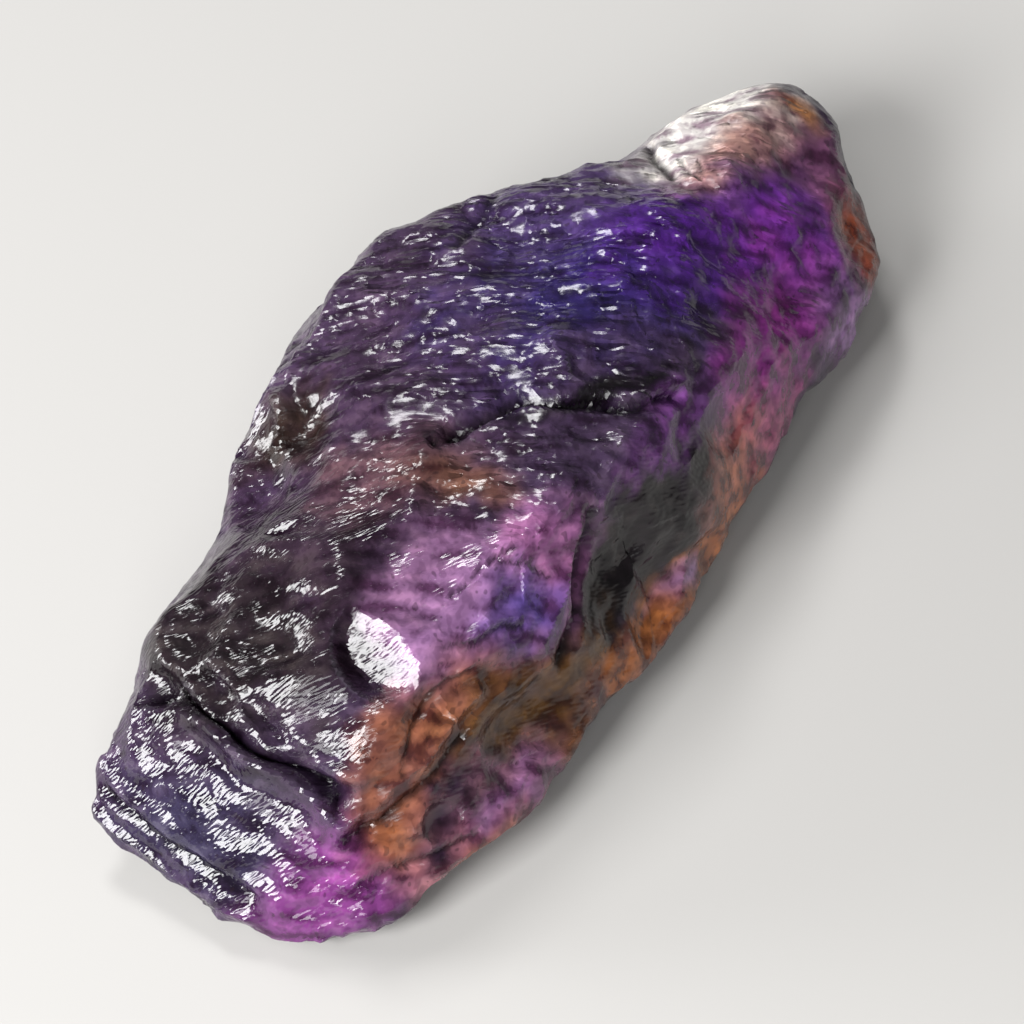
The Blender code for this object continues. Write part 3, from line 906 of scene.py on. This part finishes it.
@dataclass(frozen=True)
class Quartz:
    """See-through quartz with clouds of purple, pink and orange, frosted where it is grooved.

    Attributes:
        name: The material's name.
        body: The colour where no cloud lies.
        milk: How milky the quartz is there.
        ior: How strongly light is bent.
        see_through: How much light passes clear quartz.
        milk_gloss: How strongly milky quartz mirrors. Clear quartz has 0.5.
        absorbed: The colour that the inside leaves to the light.
        density: How strongly the inside absorbs.
        smooth: The roughness of a clean break.
        grain: The waves to a millimetre of the mottling and specks.
        mottle: The dark mottling.
        specks: The dark specks.
        paler_ridges: Paler colour laid on the ridges, the more the further they stand out.
        plank: A plank's size.
        plank_tilt: How steep the planks are.
        patch: Where on the patches the planks start and are whole.
        patch_floor: How strong the planks are between patches.
        scratch: A scratch's size.
        scratch_turn: The scratches' turn about Z in degrees.
        scratch_depth: How deep they are.
        polish_calm: How much flatter a clean break is.
    """

    name: str = "quartz"
    body: Colour = (0.06, 0.034, 0.078)
    milk: float = 0.65
    ior: float = 1.544
    see_through: float = 0.95
    milk_gloss: float = 0.40
    absorbed: Colour = (0.62, 0.25, 0.66)
    density: float = 60.0
    smooth: float = 0.10
    grain: float = 2.6
    mottle: Wash = Wash((0.50, 0.36), 0.30, (0.2, 0.12, 0.2), "MULTIPLY")
    specks: Wash = Wash((0.73, 0.80), 0.45, (0.02, 0.01, 0.015))
    paler_ridges: Wash = Wash((0.05, 0.5), 0.08, (0.5, 0.46, 0.56))
    plank: Point = (0.95, 0.18, 1.0)
    plank_tilt: float = 0.85
    patch: tuple[float, float] = (0.36, 0.62)
    patch_floor: float = 0.12
    scratch: Point = (0.6, 0.13, 0.25)
    scratch_turn: float = -30.0
    scratch_depth: float = 0.045
    polish_calm: float = 0.25

    def material(self) -> Material:
        """Builds the material: clear quartz and milky quartz, mixed by how milky each place is.

        Returns:
            The material.
        """
        board = Board(self.name)
        where = board.place()
        looks = {
            "Base Color": self.colour(board, where),
            "Roughness": self.smooth + board.zones(FROSTED),
            "Normal": self.relief(board, where),
            "IOR": self.ior,
        }
        clear = board.add("ShaderNodeBsdfPrincipled", {}, {**looks, "Transmission Weight": self.see_through})
        solid = {**looks, "Transmission Weight": 0.0, "Specular IOR Level": self.milk_gloss}
        milky = board.add("ShaderNodeBsdfPrincipled", {}, solid)
        skin = board.add("ShaderNodeMixShader", {}, {0: board.share("milk"), 1: clear, 2: milky})
        stain = {"Color": rgba(self.absorbed), "Density": self.density}
        inside = board.add("ShaderNodeVolumeAbsorption", {}, stain)
        board.add("ShaderNodeOutputMaterial", {}, {"Surface": skin, "Volume": inside}, None)
        return board.material

    def colour(self, board: Board, where: Wire) -> Wire:
        """Takes the clouds' colour and adds fine mottling, dark specks and paler colour on the ridges.

        Args:
            board: The material's nodes.
            where: The place in millimetres.

        Returns:
            The colour.
        """
        colour = board.add("ShaderNodeAttribute", {"attribute_name": "tint"}, {}, "Color")
        grain = board.noise(where, self.grain)
        for wash, value in ((self.mottle, grain), (self.specks, grain), (self.paler_ridges, board.share("ridge"))):
            share = board.ramp(value, *wash.span) * wash.cover
            colour = board.blend(share, colour, rgba(wash.colour), wash.how)
        return colour

    def relief(self, board: Board, where: Wire) -> Wire:
        """Adds the breaks that are finer than the mesh: tilted planks on the top and scratches elsewhere.

        Args:
            board: The material's nodes.
            where: The place in millimetres.

        Returns:
            The normal.
        """
        broken = board.ramp(board.share("patch"), *self.patch, self.patch_floor, 1.0)
        planks = self.planks(board, where) * board.zones(PLANKED) * broken
        lines = board.noise(board.cells(where, self.scratch_turn, self.scratch), 1.0)
        scratches = lines * board.zones(SCRATCHED) * self.scratch_depth
        height = (planks + scratches) * (1.0 - board.share("polish") * self.polish_calm)
        return board.add("ShaderNodeBump", {}, {"Strength": 1.0, "Distance": MM, "Height": height})

    def planks(self, board: Board, where: Wire) -> Wire:
        """Splits the surface into small flat planks, each tilted its own way.

        Args:
            board: The material's nodes.
            where: The place in millimetres.

        Returns:
            The height in millimetres.
        """
        sway = board.add("ShaderNodeAttribute", {"attribute_name": "sway"}, {}, "Vector")
        warped = board.vector("ADD", board.cells(where, STREAK_TURN, self.plank), sway)
        middle = board.add("ShaderNodeTexVoronoi", {"voronoi_dimensions": "2D"},
                           {"Vector": warped, "Scale": 1.0}, "Position")
        lean = board.vector("SUBTRACT", middle.twin("Color"), (0.5, 0.5, 0.5))
        off = board.vector("MULTIPLY", board.vector("SUBTRACT", warped, middle), (*self.plank[:2], 0.0))
        return board.vector("DOT_PRODUCT", lean, off, "Value") * self.plank_tilt


def pick(thing: Object) -> None:
    """Selects one object and nothing else."""
    bpy.ops.object.select_all(action="DESELECT")
    thing.select_set(True)
    bpy.context.view_layer.objects.active = thing


@dataclass
class Stone:
    """The rough lump, broken on all its sides.

    Attributes:
        voxel: The size of its mesh's faces.
        calm: How many times the copy is smoothed.
        finish: What it is made of.
    """

    voxel: float = VOXEL
    calm: int = 2
    finish: Quartz = Quartz()

    def build(self) -> Object:
        """Copies the solid, meshes it finely, breaks its surface and dresses it.

        Returns:
            The stone.
        """
        piece = self.copy_solid()
        self.remesh(piece)
        surface = BrokenSurface(piece.data)
        surface.swell(SWELL)
        for layer in FORM_STRIKES:
            surface.strike(layer, False)
        surface.restrain(FORM_LIMIT)
        for layer in FINE_STRIKES:
            surface.strike(layer, True)
        surface.restrain(SCAR_LIMIT)
        for flake in FLAKES:
            surface.flake(flake)
        for seam in SEAMS:
            surface.seam(seam)
        surface.calm(LAST_CALM)
        surface.write(self.finish.body, self.finish.milk)
        self.shade(piece)
        piece.data.materials.clear()
        piece.data.materials.append(self.finish.material())
        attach(piece, "root")
        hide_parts(NODE)
        return piece

    def copy_solid(self) -> Object:
        """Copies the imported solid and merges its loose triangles.

        Returns:
            The copy.
        """
        pick(bpy.data.objects[NODE])
        bpy.ops.object.duplicate()
        piece = bpy.context.view_layer.objects.active
        piece.name = "rough_stone"
        piece.data.name = "rough_stone"
        bpy.ops.object.mode_set(mode="EDIT")
        bpy.ops.mesh.select_all(action="SELECT")
        bpy.ops.mesh.remove_doubles(threshold=MERGE_GAP * MM)
        bpy.ops.object.mode_set(mode="OBJECT")
        return piece

    def remesh(self, piece: Object) -> None:
        """Meshes the copy evenly and rounds off the solid's facets a little.

        Args:
            piece: The copy.
        """
        mesher = piece.modifiers.new("even", "REMESH")
        mesher.mode = "VOXEL"
        mesher.voxel_size = self.voxel * MM
        bpy.ops.object.modifier_apply(modifier=mesher.name)
        calmer = piece.modifiers.new("calm", "SMOOTH")
        calmer.factor = COPY_CALM
        calmer.iterations = self.calm
        bpy.ops.object.modifier_apply(modifier=calmer.name)

    def shade(self, piece: Object) -> None:
        """Shades the bowls smooth and their edges sharp."""
        pick(piece)
        bpy.ops.object.shade_smooth_by_angle(angle=math.radians(SHARP_EDGE))


@dataclass(frozen=True)
class Lamp:
    """A soft area lamp that looks at the stone. Its distance and size are in metres, its power in watts."""

    name: str
    azimuth: float
    elevation: float
    distance: float
    size: float
    power: float

    def build(self, target: Vector) -> None:
        """Makes the lamp.

        Args:
            target: The place it looks at.
        """
        bpy.ops.object.light_add(type="AREA")
        lamp = bpy.context.view_layer.objects.active
        lamp.name = self.name
        lamp.data.size = self.size
        lamp.data.energy = self.power
        away = Vector(direction(self.azimuth, self.elevation))
        lamp.location = target + away * self.distance
        lamp.rotation_euler = away.to_track_quat("Z", "Y").to_euler()


@dataclass(frozen=True)
class Studio:
    """The pale floor, the soft lamps and the camera, with its sizes in metres."""

    floor_side: float = 4.0
    floor_colour: Colour = (0.50, 0.49, 0.475)
    floor_roughness: float = 0.7
    world_strength: float = 0.12
    azimuth: float = -145.5
    elevation: float = 52.0
    distance: float = 0.24
    lens: float = 178.9
    sensor: float = 36.0
    clip: float = 0.01
    aim: Point = (0.000523, -0.000877, 0.0006)
    bounces: int = 3
    diffuse_bounces: int = 1
    glossy_bounces: int = 2
    lit: Point = (0.0, 0.0, 0.006)
    lamps: tuple[Lamp, ...] = (
        Lamp("key_lamp", 172.0, 34.0, 0.36, 0.17, 2.0),
        Lamp("rim_lamp", 118.0, 14.0, 0.40, 0.14, 1.1),
        Lamp("back_lamp", 60.0, 52.0, 0.45, 0.11, 0.8),
        Lamp("fill_lamp", -150.0, 34.0, 0.50, 0.18, 0.8),
    )

    def build(self) -> None:
        """Makes the floor, the lamps, the world and the camera, and limits how often light bounces."""
        self.floor()
        for lamp in self.lamps:
            lamp.build(Vector(self.lit))
            log.info("lamp %s", lamp.name)
        world = bpy.data.worlds.new("studio")
        world.use_nodes = True
        world.node_tree.nodes["Background"].inputs[0].default_value = rgba(WHITE)
        world.node_tree.nodes["Background"].inputs[1].default_value = self.world_strength
        bpy.context.scene.world = world
        self.camera()
        scene = bpy.context.scene
        scene.view_settings.view_transform = "Standard"
        scene.cycles.max_bounces = self.bounces
        scene.cycles.transmission_bounces = self.bounces
        scene.cycles.diffuse_bounces = self.diffuse_bounces
        scene.cycles.glossy_bounces = self.glossy_bounces

    def floor(self) -> None:
        """Lays the floor just under the sole, so that the two don't flicker."""
        bpy.ops.object.select_all(action="DESELECT")
        bpy.ops.mesh.primitive_plane_add(size=self.floor_side)
        floor = bpy.context.view_layer.objects.active
        floor.name = "floor"
        floor.location.z = -FLOOR_DROP * MM
        board = Board("floor_paint")
        paint = {"Base Color": rgba(self.floor_colour), "Roughness": self.floor_roughness}
        shader = board.add("ShaderNodeBsdfPrincipled", {}, paint)
        board.add("ShaderNodeOutputMaterial", {}, {"Surface": shader}, None)
        floor.data.materials.append(board.material)

    def camera(self) -> None:
        """Sets up the camera at the photograph's angle."""
        bpy.ops.object.camera_add()
        camera = bpy.context.view_layer.objects.active
        camera.name = "camera"
        camera.data.sensor_width = self.sensor
        camera.data.lens = self.lens
        camera.data.clip_start = self.clip
        away = Vector(direction(self.azimuth, self.elevation))
        camera.location = Vector(self.aim) + away * self.distance
        camera.rotation_euler = away.to_track_quat("Z", "Y").to_euler()
        bpy.context.scene.camera = camera


def main() -> None:
    """Builds the studio and the stone and reports on them."""
    logging.basicConfig(level=logging.INFO, format="%(name)s: %(message)s")
    Studio().build()
    stone = Stone().build()
    log.info("%s: %d faces", stone.name, len(stone.data.polygons))


if __name__ == "__main__":
    main()
